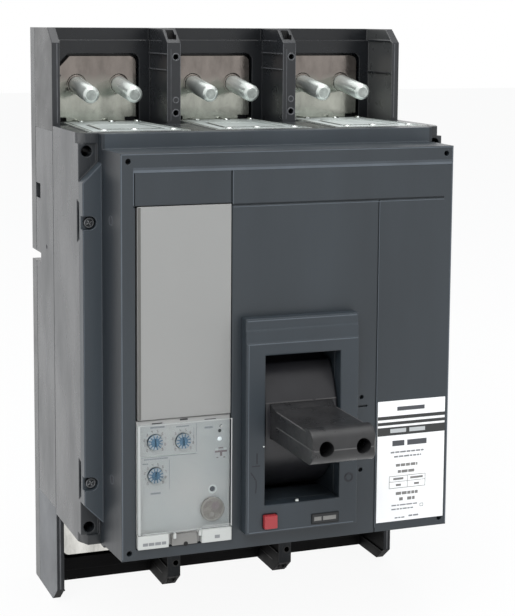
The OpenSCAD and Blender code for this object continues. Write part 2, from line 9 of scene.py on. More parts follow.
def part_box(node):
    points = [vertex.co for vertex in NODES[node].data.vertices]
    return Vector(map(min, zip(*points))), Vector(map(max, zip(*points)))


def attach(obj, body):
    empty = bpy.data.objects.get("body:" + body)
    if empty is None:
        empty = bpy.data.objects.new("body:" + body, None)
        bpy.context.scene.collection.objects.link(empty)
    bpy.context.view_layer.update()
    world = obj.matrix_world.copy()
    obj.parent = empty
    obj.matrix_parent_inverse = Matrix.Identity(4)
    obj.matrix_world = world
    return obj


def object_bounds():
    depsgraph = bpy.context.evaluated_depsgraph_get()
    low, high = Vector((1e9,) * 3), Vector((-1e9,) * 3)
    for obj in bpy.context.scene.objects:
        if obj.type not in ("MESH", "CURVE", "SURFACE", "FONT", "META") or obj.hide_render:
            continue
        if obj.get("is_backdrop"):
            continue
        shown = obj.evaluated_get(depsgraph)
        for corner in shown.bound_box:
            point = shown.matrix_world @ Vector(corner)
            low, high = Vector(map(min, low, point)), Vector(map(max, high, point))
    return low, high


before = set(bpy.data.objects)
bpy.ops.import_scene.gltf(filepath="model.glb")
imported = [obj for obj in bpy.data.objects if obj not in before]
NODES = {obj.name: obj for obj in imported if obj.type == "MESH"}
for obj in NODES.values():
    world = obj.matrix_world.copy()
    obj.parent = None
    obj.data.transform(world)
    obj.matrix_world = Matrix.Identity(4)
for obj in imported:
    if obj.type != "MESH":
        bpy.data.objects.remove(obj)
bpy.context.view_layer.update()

MM = 0.001
FORWARD = (0, -1, 0)
# Height of the printed marks above the face that carries them, in millimetres
PRINT_T = 0.06
# The bars that are set in each digit from 0 to 9, with a at the top, g in the middle and the rest clockwise
DIGIT_BARS = ("abcdef", "bc", "abged", "abgcd", "fgbc", "afgcd", "afgedc", "abc", "abcdefg", "abcdfg")


# ---------------------------------------------------------------- helpers

def at(x, d, z):
    """A point from X, depth and Z, in millimetres from the middle of the back. Depth grows to the front."""
    return Vector((x * MM, -d * MM, z * MM))


def linear(rgb):
    """An sRGB colour from 0 to 255 as linear values with alpha."""
    out = []
    for c in rgb:
        c /= 255
        out.append(c / 12.92 if c <= 0.04045 else ((c + 0.055) / 1.055) ** 2.4)
    return (*out, 1.0)


def box_mm(node):
    """X, depth and Z limits of a CAD node, in millimetres."""
    lo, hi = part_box(node)
    return lo.x / MM, hi.x / MM, -hi.y / MM, -lo.y / MM, lo.z / MM, hi.z / MM


def round_mm(node):
    """Middle X and Z, radius and front depth of a round CAD node, in millimetres."""
    x0, x1, _, d, z0, z1 = box_mm(node)
    return (x0 + x1) / 2, (z0 + z1) / 2, (x1 - x0) / 2, d


def front(node):
    """Depth of a CAD node's front, in millimetres."""
    return box_mm(node)[3]


def middle_x(node):
    """X of a CAD node's middle, in millimetres."""
    x0, x1, *_ = box_mm(node)
    return (x0 + x1) / 2


def span(sign, a, b):
    """Two distances from the middle, measured to one side of it, with the lower value first."""
    return sorted((sign * a, sign * b))


class Builder:
    """Collects simple mesh parts into one piece, all in millimetres as X, depth, Z.

    If a CAD node is given, X and Z are measured from the top left corner of its box.
    """

    def __init__(self, node=None):
        self.bm = bmesh.new()
        self.left, self.top = 0, 0
        if node:
            self.left, _, _, _, _, self.top = box_mm(node)

    def at(self, x, d, z):
        """A point from the values of X, depth and Z that this piece uses."""
        return at(self.left + x, d, self.top + z)

    def block(self, x0, x1, d0, d1, z0, z1):
        """A box between two values of X, of depth and of Z."""
        v = [self.bm.verts.new(self.at(x, d, z)) for x in (x0, x1) for d in (d0, d1) for z in (z0, z1)]
        for f in ((0, 1, 3, 2), (4, 6, 7, 5), (0, 4, 5, 1), (2, 3, 7, 6), (0, 2, 6, 4), (1, 5, 7, 3)):
            self.bm.faces.new([v[i] for i in f])

    def flat(self, x0, x1, z0, z1, d, t=PRINT_T):
        """A thin printed patch that faces the front."""
        self.block(x0, x1, d, d + t, z0, z1)

    def frame(self, x0, x1, z0, z1, d, line, t=PRINT_T):
        """A thin printed outline that faces the front."""
        self.flat(x0, x1, z1 - line, z1, d, t)
        self.flat(x0, x1, z0, z0 + line, d, t)
        self.flat(x0, x0 + line, z0 + line, z1 - line, d, t)
        self.flat(x1 - line, x1, z0 + line, z1 - line, d, t)

    def stroke(self, a, b, width, d, t=PRINT_T):
        """A straight printed stroke from (x, z) to (x, z)."""
        (x0, z0), (x1, z1) = a, b
        n = Vector((z0 - z1, x1 - x0)).normalized() * width / 2
        ring = [(x0 + n.x, z0 + n.y), (x1 + n.x, z1 + n.y), (x1 - n.x, z1 - n.y), (x0 - n.x, z0 - n.y)]
        self.prism(ring, d, d + t)

    def prism(self, ring, d0, d1):
        """An X-Z outline between two depths."""
        self.between([self.at(x, d0, z) for x, z in ring], [self.at(x, d1, z) for x, z in ring])

    def slab(self, ring, z0, z1):
        """An X-depth outline between two heights."""
        self.between([self.at(x, d, z0) for x, d in ring], [self.at(x, d, z1) for x, d in ring])

    def between(self, start, end):
        """A closed solid between two outlines with the same number of points."""
        start = [self.bm.verts.new(p) for p in start]
        end = [self.bm.verts.new(p) for p in end]
        self.bm.faces.new(start)
        self.bm.faces.new(end[::-1])
        for i in range(len(start)):
            j = (i + 1) % len(start)
            self.bm.faces.new([start[j], start[i], end[i], end[j]])

    def disc(self, centre, axis, r, rise, segments, low=0):
        """A round plate that stands out along the axis."""
        self.lathe(centre, axis, [(r, low), (r, rise), (0, rise)], segments)

    def words(self, x0, x1, z, h, d, rng):
        """A line of plain blocks, spaced like words."""
        gap, shortest, short_word, long_word = 0.45, 0.4, 1.2, 3.6
        x = x0
        while x < x1 - shortest:
            end = min(x1, x + rng.uniform(short_word, long_word))
            self.flat(x, end, z - h / 2, z + h / 2, d)
            x = end + gap

    def digit(self, n, x, z, h, d):
        """A plain seven-bar digit, h high, centred on (x, z)."""
        w = h * 0.55
        line = h * 0.16
        bars = {
            "a": ((-w, h), (w, h)), "b": ((w, h), (w, 0)), "c": ((w, 0), (w, -h)),
            "d": ((-w, -h), (w, -h)), "e": ((-w, 0), (-w, -h)), "f": ((-w, h), (-w, 0)),
            "g": ((-w, 0), (w, 0)),
        }
        for key in DIGIT_BARS[n]:
            (x0, z0), (x1, z1) = bars[key]
            self.stroke((x + x0 / 2, z + z0 / 2), (x + x1 / 2, z + z1 / 2), line, d)

    def lathe(self, centre, axis, profile, segments):
        """A profile of (radius, height along the axis), turned about the axis. A radius of 0 closes it."""
        axis = Vector(axis).normalized()
        side = axis.orthogonal().normalized()
        other = axis.cross(side)
        rings = []
        for r, h in profile:
            if r == 0:
                rings.append([self.bm.verts.new(centre + axis * h * MM)])
                continue
            turns = [2 * math.pi * i / segments for i in range(segments)]
            middle = centre + axis * h * MM
            rim = [middle + (side * math.cos(a) + other * math.sin(a)) * r * MM for a in turns]
            rings.append([self.bm.verts.new(p) for p in rim])
        for a, b in zip(rings, rings[1:]):
            for i in range(segments):
                j = (i + 1) % segments
                ring = [a[i % len(a)], a[j % len(a)], b[j % len(b)], b[i % len(b)]]
                corners = list(dict.fromkeys(ring))
                if len(corners) > 2:
                    self.bm.faces.new(corners)

    def ring(self, x, z, d, r, tube):
        """A thin raised ring that faces the front."""
        profile = [(r - tube, 0), (r - tube / 2, tube * 0.5), (r + tube / 2, tube * 0.5), (r + tube, 0)]
        self.lathe(self.at(x, d, z), FORWARD, profile, 36)

    def done(self, name, material, body, smooth=False):
        """Makes the collected parts one object of a material, riding on a body."""
        bmesh.ops.recalc_face_normals(self.bm, faces=self.bm.faces)
        mesh = bpy.data.meshes.new(name)
        self.bm.to_mesh(mesh)
        self.bm.free()
        if smooth:
            for p in mesh.polygons:
                p.use_smooth = True
        obj = bpy.data.objects.new(name, mesh)
        bpy.context.scene.collection.objects.link(obj)
        mesh.materials.append(MATERIALS[material])
        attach(obj, body)


# ---------------------------------------------------------------- materials

class Nodes:
    """Shorthand for building one material's node tree."""

    def __init__(self, name):
        self.mat = bpy.data.materials.new(name)
        self.mat.use_nodes = True
        self.tree = self.mat.node_tree
        self.bsdf = self.tree.nodes["Principled BSDF"]
        self.coord = self.tree.nodes.new("ShaderNodeTexCoord").outputs["Object"]

    def add(self, kind, **inputs):
        """A new node with its inputs set by name."""
        n = self.tree.nodes.new(kind)
        for key, value in inputs.items():
            n.inputs[key.replace("_", " ")].default_value = value
        return n

    def link(self, a, b):
        self.tree.links.new(a, b)

    def stretched(self, scale):
        """Object coordinates scaled by (x, y, z)."""
        m = self.tree.nodes.new("ShaderNodeMapping")
        m.inputs["Scale"].default_value = scale
        self.link(self.coord, m.inputs["Vector"])
        return m.outputs["Vector"]

    def noise(self, scale, detail=4, rough=0.6, vector=None):
        """Procedural noise from 0 to 1, over the object's own coordinates unless a vector is given."""
        n = self.add("ShaderNodeTexNoise", Scale=scale, Detail=detail, Roughness=rough)
        self.link(vector or self.coord, n.inputs["Vector"])
        return n.outputs["Fac"]

    def ramp(self, fac, stops):
        """fac as a colour, through stops of (position, colour)."""
        r = self.tree.nodes.new("ShaderNodeValToRGB")
        elements = r.color_ramp.elements
        while len(elements) < len(stops):
            elements.new(0.5)
        for element, (position, colour) in zip(elements, stops):
            element.position = position
            element.color = colour
        self.link(fac, r.inputs["Fac"])
        return r.outputs["Color"]

    def grey(self, fac, lo, hi, a=0.3, b=0.7):
        """fac from a to b as a plain value from lo to hi."""
        m = self.tree.nodes.new("ShaderNodeMapRange")
        for key, value in (("From Min", a), ("From Max", b), ("To Min", lo), ("To Max", hi)):
            m.inputs[key].default_value = value
        self.link(fac, m.inputs["Value"])
        return m.outputs["Result"]

    def bump(self, height, strength, distance, normal=None):
        """A normal bent by a height, with its distance in metres."""
        b = self.add("ShaderNodeBump", Strength=strength, Distance=distance)
        self.link(height, b.inputs["Height"])
        if normal:
            self.link(normal, b.inputs["Normal"])
        return b.outputs["Normal"]

    def math(self, operation, a, b=None):
        """One math node on a socket and a socket or number."""
        m = self.tree.nodes.new("ShaderNodeMath")
        m.operation = operation
        self.link(a, m.inputs[0])
        if isinstance(b, (int, float)):
            m.inputs[1].default_value = b
        elif b is not None:
            self.link(b, m.inputs[1])
        return m.outputs[0]

    def mix(self, fac, a, b):
        """Colour a where fac is 0, and b where it is 1."""
        m = self.tree.nodes.new("ShaderNodeMix")
        m.data_type = "RGBA"
        self.link(fac, m.inputs["Factor"])
        self.link(a, m.inputs["A"])
        self.link(b, m.inputs["B"])
        return m.outputs["Result"]

    def rounded(self, radius):
        """A normal that rounds sharp edges over a radius in millimetres."""
        b = self.tree.nodes.new("ShaderNodeBevel")
        b.samples = 8
        b.inputs["Radius"].default_value = radius * MM
        return b.outputs["Normal"]

    def set(self, **values):
        """Constants on the shader's own inputs."""
        for key, value in values.items():
            self.bsdf.inputs[key.replace("_", " ")].default_value = value

    def to(self, key, socket):
        """Links a socket to one of the shader's inputs."""
        self.link(socket, self.bsdf.inputs[key])


def shade(colour, k):
    """A linear colour made k times as bright."""
    return (*(min(1.0, c * k) for c in colour[:3]), 1.0)


def plastic(
    name, rgb, rough=(0.4, 0.5), mottle=0.08, scale=18, grain=1500, bump=0.12, ior=1.5,
    streak=None, edge=0, light_and_shade_zones=()
):
    """Moulded plastic: slight colour drift, uneven sheen and a fine moulded texture.

    edge rounds the edges, in mm. Each zone is an axis, two distances from the origin along it in mm,
    and the colour of the faces that lie between them, which paints the light and shade that fall on those
    faces.
    """
    n = Nodes(name)
    where = n.stretched(streak) if streak else None
    drift = n.noise(scale, 5, 0.6, where)

    def drifting(tone):
        base = linear(tone)
        return n.ramp(drift, [(0.3, shade(base, 1 - mottle)), (0.7, shade(base, 1 + mottle))])

    colour = drifting(rgb)
    if light_and_shade_zones:
        split = n.tree.nodes.new("ShaderNodeSeparateXYZ")
        n.link(n.coord, split.inputs[0])
    for axis, near, far, tone in light_and_shade_zones:
        away = n.math("ABSOLUTE", split.outputs[axis])
        past_near = n.math("GREATER_THAN", away, near * MM)
        short_of_far = n.math("LESS_THAN", away, far * MM)
        colour = n.mix(n.math("MULTIPLY", past_near, short_of_far), colour, drifting(tone))
    n.to("Base Color", colour)
    n.to("Roughness", n.grey(n.noise(scale * 2.3, 4, 0.6, where), *rough))
    n.to("Normal", n.bump(n.noise(grain, 2, 0.5), bump, 0.00006, n.rounded(edge) if edge else None))
    n.set(IOR=ior)
    return n.mat


def metal(name, stops, rough, scale, bump=0.1, metallic=1.0):
    """Plated metal: blotchy tone, fine scratches and uneven polish."""
    n = Nodes(name)
    blot = n.noise(scale, 6, 0.65)
    n.to("Base Color", n.ramp(blot, [(p, linear(c)) for p, c in stops]))
    n.to("Roughness", n.grey(n.noise(scale * 3, 5, 0.7), *rough))
    n.to("Normal", n.bump(n.noise(400, 3, 0.6), bump, 0.00008))
    n.set(Metallic=metallic)
    return n.mat


def galvanised(name, dull, plain, bright):
    """Galvanised sheet in three tones."""
    stops = [(0.3, dull), (0.5, plain), (0.75, bright)]
    return metal(name, stops, rough=(0.34, 0.52), scale=45, bump=0.06, metallic=0.3)


def tinned_bar(name, low=(164, 166, 157), high=(129, 122, 117)):
    """Tinned copper: mottled, darker and warmer at the bar's end to paint its reflection of dark
    surroundings, paler towards its foot, with fine scratches.
    """
    n = Nodes(name)
    split = n.tree.nodes.new("ShaderNodeSeparateXYZ")
    n.link(n.coord, split.inputs[0])
    height = n.math("ABSOLUTE", split.outputs["Z"])
    blot = n.noise(70, 6, 0.62, n.stretched((1.6, 1, 0.6)))
    # the tone, which paints the bar's reflections, changes at about 22 mm above the foot of the bar, along an
    # uneven line
    level = n.math("ADD", height, n.math("MULTIPLY", blot, 0.02))
    share = n.grey(level, 0, 1, 0.134, 0.146)
    n.to("Base Color", n.mix(share, n.ramp(blot, tones(low)), n.ramp(blot, tones(high))))
    n.to("Roughness", n.grey(n.noise(200, 5, 0.7), 0.06, 0.2))
    scratches = n.noise(900, 3, 0.6, n.stretched((1, 1, 0.12)))
    n.to("Normal", n.bump(scratches, 0.14, 0.00008, n.rounded(0.6)))
    n.set(Metallic=1.0)
    return n.mat


def tones(rgb):
    """Darker, plain and lighter stops of one colour."""
    base = linear(rgb)
    return [(0.3, shade(base, 0.72)), (0.5, base), (0.72, shade(base, 1.22))]


def clear_plastic():
    """Thin clear plastic that hardly bends the light."""
    n = Nodes("clear_plastic")
    n.to("Roughness", n.grey(n.noise(60, 3), 0.03, 0.07))
    tint = [(0.3, linear((238, 244, 246))), (0.7, linear((248, 251, 252)))]
    n.to("Base Color", n.ramp(n.noise(30, 3), tint))
    n.set(IOR=1.1, Transmission_Weight=1.0)
    return n.mat


MATERIALS = {
    "cover": plastic(
        "cover_plastic", (46, 52, 57), rough=(0.3, 0.42), mottle=0.14, streak=(1, 1, 0.22), scale=26, edge=1,
        # the flange, lighter to paint the light on it, then the sloped sides above it, darker to paint their
        # shade
        light_and_shade_zones=(("Y", 110.9, 118.3, (55, 62, 68)), ("X", 93.05, 94.9, (36, 41, 46))),
    ),
    "escutcheon": plastic(
        "escutcheon_plastic", (47, 54, 60), rough=(0.32, 0.44), mottle=0.12, streak=(1, 1, 0.4), scale=30,
        edge=1.4,
    ),
    "case": plastic(
        "case_plastic", (40, 43, 46), rough=(0.2, 0.36), mottle=0.16, scale=16, streak=(1, 1, 0.4), edge=1,
        # the outer sides, lighter to paint the sheen of reflected light on them
        light_and_shade_zones=(("X", 104.7, 106, (64, 66, 69)),),
    ),
    "rear": plastic("rear_plastic", (60, 62, 64), rough=(0.24, 0.34), mottle=0.1, edge=0.8),
    "housing": plastic(
        "housing_plastic", (35, 37, 40), rough=(0.24, 0.36), mottle=0.16, scale=30, edge=0.8,
        # the back wall, darker to paint its shade, then the insides of the outer walls, lighter to paint the
        # light on them
        light_and_shade_zones=(("Y", 16.7, 20.3, (14, 17, 21)), ("X", 100.3, 100.7, (73, 74, 74))),
    ),
    # the lower housing's near-black colour paints the shade under the case
    "housing_low": plastic(
        "lower_housing_shaded_plastic", (5, 5, 6), rough=(0.5, 0.62), mottle=0.14, scale=30, edge=0.8, ior=1.2,
        # the walls' front ends, lighter to paint the light on them, then the outer sides, lighter to paint
        # the sheen of reflected light
        light_and_shade_zones=(("Y", 52.9, 53.1, (54, 55, 57)), ("X", 104.7, 106, (134, 135, 137))),
    ),
    "barrel": plastic(
        "barrel_plastic", (31, 31, 34), rough=(0.3, 0.46), mottle=0.3, scale=34, bump=0.2, edge=1.2
    ),
    "toggle": plastic(
        "toggle_plastic", (39, 39, 40), rough=(0.22, 0.46), mottle=0.36, scale=48, bump=0.24, edge=1.2
    ),
    # lighter than the handle, to paint highlights on its seam, its top edges and the barrel's fillet
    "seam": plastic("toggle_seam_highlight", (84, 83, 83), rough=(0.34, 0.44), mottle=0.2, scale=60),
    "panel": plastic(
        "panel_plastic", (148, 148, 146), rough=(0.5, 0.58), mottle=0.015, grain=2200, bump=0.06, edge=0.6
    ),
    "unit": plastic("unit_plastic", (170, 169, 167), rough=(0.42, 0.5), mottle=0.02, edge=0.6),
    # painted highlights on the clear cover's edges
    "rim": plastic("clear_cover_edge_highlight", (180, 182, 180), rough=(0.3, 0.4), mottle=0.04),
    "strip": plastic("strip_plastic", (192, 194, 191), rough=(0.4, 0.5), mottle=0.03, edge=0.6),
    # painted shade along the blank panel's edge
    "shadow_edge": plastic("panel_edge_shade", (96, 95, 92), rough=(0.5, 0.58), mottle=0.08, scale=60),
    "tab": plastic("tab_plastic", (128, 127, 124), rough=(0.4, 0.5), mottle=0.05, scale=90, edge=0.6),
    "seal": plastic("seal_plastic", (126, 119, 113), rough=(0.2, 0.34), mottle=0.22, scale=170, edge=0.8),
    # lighter than the seal, to paint highlights on its rim and a glint on it
    "seal_rim": plastic("seal_rim_highlight", (138, 133, 127), rough=(0.3, 0.4), mottle=0.05),
    "red": plastic("button_plastic", (157, 54, 58), rough=(0.4, 0.5), mottle=0.05, edge=0.8),
    "dial": plastic("dial_plastic", (74, 106, 130), rough=(0.35, 0.45), mottle=0.08, scale=220),
    "dial_face": plastic("dial_face_plastic", (150, 153, 155), rough=(0.4, 0.5), mottle=0.05, scale=220),
    "white": plastic("label_film", (252, 252, 252), rough=(0.5, 0.58), mottle=0.008, grain=3000, bump=0.03),
    "band": plastic("label_ink_band", (52, 53, 53), rough=(0.5, 0.6), mottle=0.04),
    "ink": plastic("label_ink", (74, 76, 80), rough=(0.5, 0.6), mottle=0.05),
    "faint": plastic("label_ink_faint", (132, 134, 136), rough=(0.5, 0.6), mottle=0.05),
    "pale": plastic("label_ink_pale", (188, 191, 192), rough=(0.5, 0.6), mottle=0.05),
    "blue": plastic("label_ink_blue", (58, 96, 124), rough=(0.5, 0.6), mottle=0.08, scale=300),
    "black": plastic("label_black", (30, 32, 34), rough=(0.4, 0.5), mottle=0.05),
    "mark": plastic("moulded_mark", (30, 33, 40), rough=(0.45, 0.55), mottle=0.08),
    # softer painted highlights on the cover's edges and on the rims of its side marks
    "soft_line": plastic("soft_highlight_plastic", (62, 68, 74), rough=(0.32, 0.42), mottle=0.1, scale=60),
    # painted highlights on the lit edges of the cover and the escutcheon
    "line": plastic("lit_edge_plastic", (84, 91, 98), rough=(0.32, 0.42), mottle=0.1, scale=60),
    # painted highlights on wall edges, and below it a darker copy that paints the same lines in shade on the
    # lower walls
    "wall_line": plastic("wall_edge_highlight", (88, 89, 92), rough=(0.3, 0.4), mottle=0.3, scale=120),
    "dull_line": plastic("wall_edge_shade", (22, 22, 23), rough=(0.4, 0.5), mottle=0.3, scale=120),
    "warm": plastic("label_ink_warm", (120, 108, 108), rough=(0.5, 0.6), mottle=0.15, scale=300),
    "bolt_end": metal(
        "bolt_end", [(0.3, (158, 163, 160)), (0.7, (206, 211, 207))], rough=(0.3, 0.45), scale=400
    ),
    "dark": plastic("dark_recess", (8, 8, 9), rough=(0.6, 0.7), mottle=0.1),
    "tinned": tinned_bar("tinned_copper"),
    # a much paler copy of the same tinned copper for the lower bars, painting the brighter light on them
    "tinned_low": tinned_bar("lower_tinned_copper_lit", (196, 196, 191), (214, 213, 208)),
    "zinc": metal(
        "bright_zinc", [(0.3, (206, 213, 208)), (0.7, (238, 243, 239))], rough=(0.26, 0.34), scale=60,
        bump=0.03, metallic=0.72,
    ),
    "galvanised": galvanised("galvanised_sheet", (166, 174, 171), (183, 190, 188), (200, 206, 204)),
    # a lighter copy of the same sheet for the third plates, painting the stronger light on them
    "galvanised_bright": galvanised(
        "galvanised_sheet_lit_copy", (192, 200, 198), (209, 216, 214), (224, 229, 228)
    ),
    "rivet": metal(
        "zinc_rivet", [(0.3, (205, 212, 209)), (0.7, (232, 236, 234))], rough=(0.2, 0.3), scale=300
    ),
    "steel": metal("dark_screw", [(0.3, (50, 52, 54)), (0.7, (82, 84, 86))], rough=(0.25, 0.4), scale=300),
    "slot": metal(
        "screw_slot", [(0.3, (104, 106, 108)), (0.7, (150, 152, 154))], rough=(0.25, 0.4), scale=300
    ),
    "screw": metal(
        "blackened_screw", [(0.3, (24, 24, 25)), (0.7, (44, 44, 46))], rough=(0.35, 0.5), scale=300
    ),
    "clear": clear_plastic(),
}


# ---------------------------------------------------------------- looks of the CAD nodes

LOOK = {
    "rear_plate": "rear", "base": "case", "middle_case": "case",
    "upper_terminal_housing": "housing", "lower_terminal_housing": "housing_low",
    "front_cover": "cover", "blank_panel": "panel", "trip_unit": "unit", "clear_trip_cover": "clear",
    "dial_1": "dial", "dial_2": "dial", "dial_3": "dial", "seal_cap": "seal",
    "left_strip": "strip", "latch_tab": "tab", "right_strip": "strip",
    "escutcheon": "escutcheon", "barrel": "barrel", "handle": "toggle", "pivot_pin": "steel",
    "trip_button": "red", "nameplate": "white", "rating_strip": "black",
    "flange_screws": "steel", "cover_screws": "screw",
}
for name in NODES:
    if "vent_plate" in name:
        # the third plates take the lighter copy, which paints more light on them
        LOOK[name] = "galvanised_bright" if name.endswith("3") else "galvanised"
    elif "bolts" in name:
        LOOK[name] = "zinc"
    elif name[:-2].endswith("_terminal"):
        LOOK[name] = "tinned" if name.startswith("upper") else "tinned_low"

# Edge radius in millimetres for each node whose real edges are rounded
EDGE = {
    "rear_plate": 0.6, "base": 0.6, "middle_case": 0.7, "upper_terminal_housing": 0.5,
    "lower_terminal_housing": 0.5, "front_cover": 0.6, "blank_panel": 0.3, "trip_unit": 0.3,
    "seal_cap": 0.4, "left_strip": 0.3, "latch_tab": 0.3, "right_strip": 0.3, "escutcheon": 0.5,
    "barrel": 0.8, "handle": 0.9, "trip_button": 0.5,
}
METAL_EDGE = 0.35
for name in NODES:
    if "vent_plate" in name or LOOK[name].startswith("tinned"):
        EDGE[name] = METAL_EDGE


def round_edges(obj, radius):
    """Joins the flat facets of a node, then rounds the edges between its faces."""
    flat = obj.modifiers.new("flat", "DECIMATE")
    flat.decimate_type = "DISSOLVE"
    flat.angle_limit = math.radians(0.6)
    bevel = obj.modifiers.new("edge", "BEVEL")
    bevel.width = radius * MM
    bevel.segments = 2
    bevel.limit_method = "ANGLE"
    bevel.angle_limit = math.radians(32)
    bevel.use_clamp_overlap = True
    bevel.harden_normals = False
    normals = obj.modifiers.new("normals", "WEIGHTED_NORMAL")
    normals.keep_sharp = False
    normals.weight = 80


for name, obj in NODES.items():
    obj.data.materials.clear()
    obj.data.materials.append(MATERIALS[LOOK[name]])
    weld = obj.modifiers.new("weld", "WELD")
    weld.merge_threshold = 2e-6
    if name in EDGE:
        round_edges(obj, EDGE[name])


# ---------------------------------------------------------------- trip unit

def trip_unit_print():
    """Outlines, plain label bars, painted highlights, lamp, port and slots on the face of the trip unit."""
    d = front("trip_unit")
    ink = Builder("trip_unit")
    pale = Builder("trip_unit")
    # outlines round the two groups of dials
    for x, z0, z1 in ((2.2, -18.5, -1.7), (32.5, -18.5, -3.5), (17.8, -37.2, -21.5)):
        ink.flat(x - 0.12, x + 0.12, z0, z1, d)
    ink.flat(31.02, 31.18, -13.5, -5.5, d)
    ink.flat(2.5, 32.8, -19.55, -19.35, d)
    # a pale strip over the lower outline paints the highlight on its edge
    pale.flat(2.5, 32.8, -19.3, -18.95, d)
    # plain bars where labels stand
    for x0, x1, z, h in (
        (7.6, 15.3, -3.8, 0.9), (4.1, 17, -20.4, 0.6), (7.7, 13.1, -38.7, 0.9),
        (37, 41.4, -6.2, 1.0), (21.5, 28.5, -4.4, 0.6), (3.4, 6.4, -22.7, 0.6),
    ):
        ink.flat(x0, x1, z - h / 2, z + h / 2, d)
    # T-shaped mark under the lamp
    warm = Builder("trip_unit")
    for x0, x1, z0, z1 in (
        (42.7, 49.4, -20.1, -19.1), (45.5, 46.7, -22.1, -20.1), (44.7, 47.2, -18.1, -17.4),
        (43.6, 44.6, -23.1, -22.6), (47.4, 48.4, -23.1, -22.6),
    ):
        warm.flat(x0, x1, z0, z1, d)
    warm.done("trip_unit_mark", "warm", "breaker")
    # painted highlights above the T-shaped mark
    for x0, x1 in ((42.9, 44.4), (47.6, 49.1)):
        pale.flat(x0, x1, -19, -17.9, d)
    ink.done("trip_unit_print", "faint", "breaker")
    pale.done("trip_unit_highlights", "strip", "breaker")

    slots = Builder("trip_unit")
    for x0, x1, z, h in ((8.5, 14.1, -1.8, 0.6), (23.6, 27.8, -0.8, 0.9), (37, 43.2, -2, 0.6)):
        slots.flat(x0, x1, z - h / 2, z + h / 2, d, 0.1)
    slots.disc(slots.at(45.3, d, -8.5), FORWARD, 0.9, 0.1, 20)
    slots.done("trip_unit_slots", "band", "breaker")

    lamp = Builder("trip_unit")
    lamp.lathe(lamp.at(45.3, d, -12.9), FORWARD, [(1.2, 0), (1.1, 0.4), (0.6, 0.75), (0, 0.85)], 24)
    lamp.done("trip_unit_lamp", "white", "breaker", smooth=True)
    port = Builder("trip_unit")
    port.ring(41.5, -39.5, d, 2.0, 0.45)
    port.done("test_port_rim", "strip", "breaker", smooth=True)
    hole = Builder("trip_unit")
    hole.disc(hole.at(41.3, d, -39.3), FORWARD, 1.4, 0.08, 24)
    hole.done("test_port", "ink", "breaker")


def dial_faces():
    """The pale face and the ticks of each dial, which turn with it, and the fixed numbers 0 to 9 round it."""
    numbers = Builder()
    for i in (1, 2, 3):
        x, z, r, d = round_mm(f"dial_{i}")
        face = Builder()
        face.lathe(at(x, d, z), FORWARD, [(2.3, 0), (2.3, 0.04), (r + 0.25, 0.04), (r + 0.25, -0.3)], 40)
        face.done(f"dial_{i}_face", "dial_face", f"dial_{i}")
        ticks = Builder()
        for k in range(12):
            a = math.radians(15 + 30 * k)
            c, s = math.cos(a), math.sin(a)
            start = (x + 2.2 * c, z + 2.2 * s)
            end = (x + (r + 0.1) * c, z + (r + 0.1) * s)
            ticks.stroke(start, end, 0.5, d + 0.05, 0.04)
        ticks.done(f"dial_{i}_ticks", "blue", f"dial_{i}")
        for k in range(10):
            a = math.radians(225 - 30 * k)
            numbers.digit(k, x + 5.8 * math.cos(a), z + 5.8 * math.sin(a), 1.2, front("trip_unit"))
    numbers.done("dial_numbers", "warm", "breaker")


def clear_cover_edges():
    """Painted highlights along the clear cover's edges, its hinge posts, and the marks on the strips under
    it.
    """
    x0, x1, _, d, z0, z1 = box_mm("clear_trip_cover")
    edge = Builder()
    edge.flat(x0, x0 + 1.2, z0 + 0.3, z1, d, 0.12)
    edge.flat(x1 - 0.6, x1, z0 + 0.3, z1, d, 0.12)
    edge.flat(x0 + 1.2, x1 - 0.6, z1 - 0.35, z1, d, 0.12)
    for a, b, rise in ((35, 50.3, 1.3), (35, 50.3, 0.4), (2.2, 34.5, 0.3)):
        edge.flat(x0 + a, x0 + b, z0 + rise, z0 + rise + 0.3, d, 0.1)
    edge.done("clear_cover_edges", "rim", "clear_cover")
    posts = Builder()
    for x in (x0 + 19.7, x0 + 33.5):
        posts.block(x - 0.65, x + 0.65, d - 1.5, d + 0.5, z0 - 3.3, z0 - 0.5)
    posts.done("hinge_posts", "strip", "breaker")
    mark = Builder()
    mark.disc(at(x0 + 26, d - 1, z0 - 7.1), FORWARD, 1.2, 0.06, 24)
    mark.done("latch_mark", "dark", "breaker")
    bars = Builder()
    bars.words(x0 + 2.5, x0 + 15, z0 - 5, 1.6, d, random.Random(5))
    bars.flat(x1 - 9.4, x1 - 6.6, z0 - 5.7, z0 - 3.9, d)
    bars.done("strip_print", "faint", "breaker")


def seal_detail():
    """The seal cap's raised rim in a lighter tone that paints its highlight, a darker patch at its top right,
    and a lighter patch that paints a glint.
    """
    x, z, r, d = round_mm("seal_cap")
    rim = Builder()
    rim.lathe(at(x, d, z), FORWARD, [(r - 0.9, 0), (r - 0.7, 0.25), (r - 0.25, 0.25), (r, 0)], 48)
    rim.done("seal_rim", "seal_rim", "breaker", smooth=True)
    # a darker patch at the cap's top right
    dark_patch = Builder()
    dark_patch.lathe(at(x + 1.4, d, z + 1.8), FORWARD, [(2.2, 0), (1.8, 0.1), (0, 0.1)], 32)
    dark_patch.done("seal_dark_patch", "warm", "breaker", smooth=True)
    # a lighter patch that paints a glint on the cap
    glint_patch = Builder()
    glint_patch.lathe(at(x - 0.6, d, z - 2.6), FORWARD, [(1.3, 0), (1.0, 0.12), (0, 0.12)], 24)
    glint_patch.done("seal_glint_patch", "seal_rim", "breaker", smooth=True)


# ---------------------------------------------------------------- labels

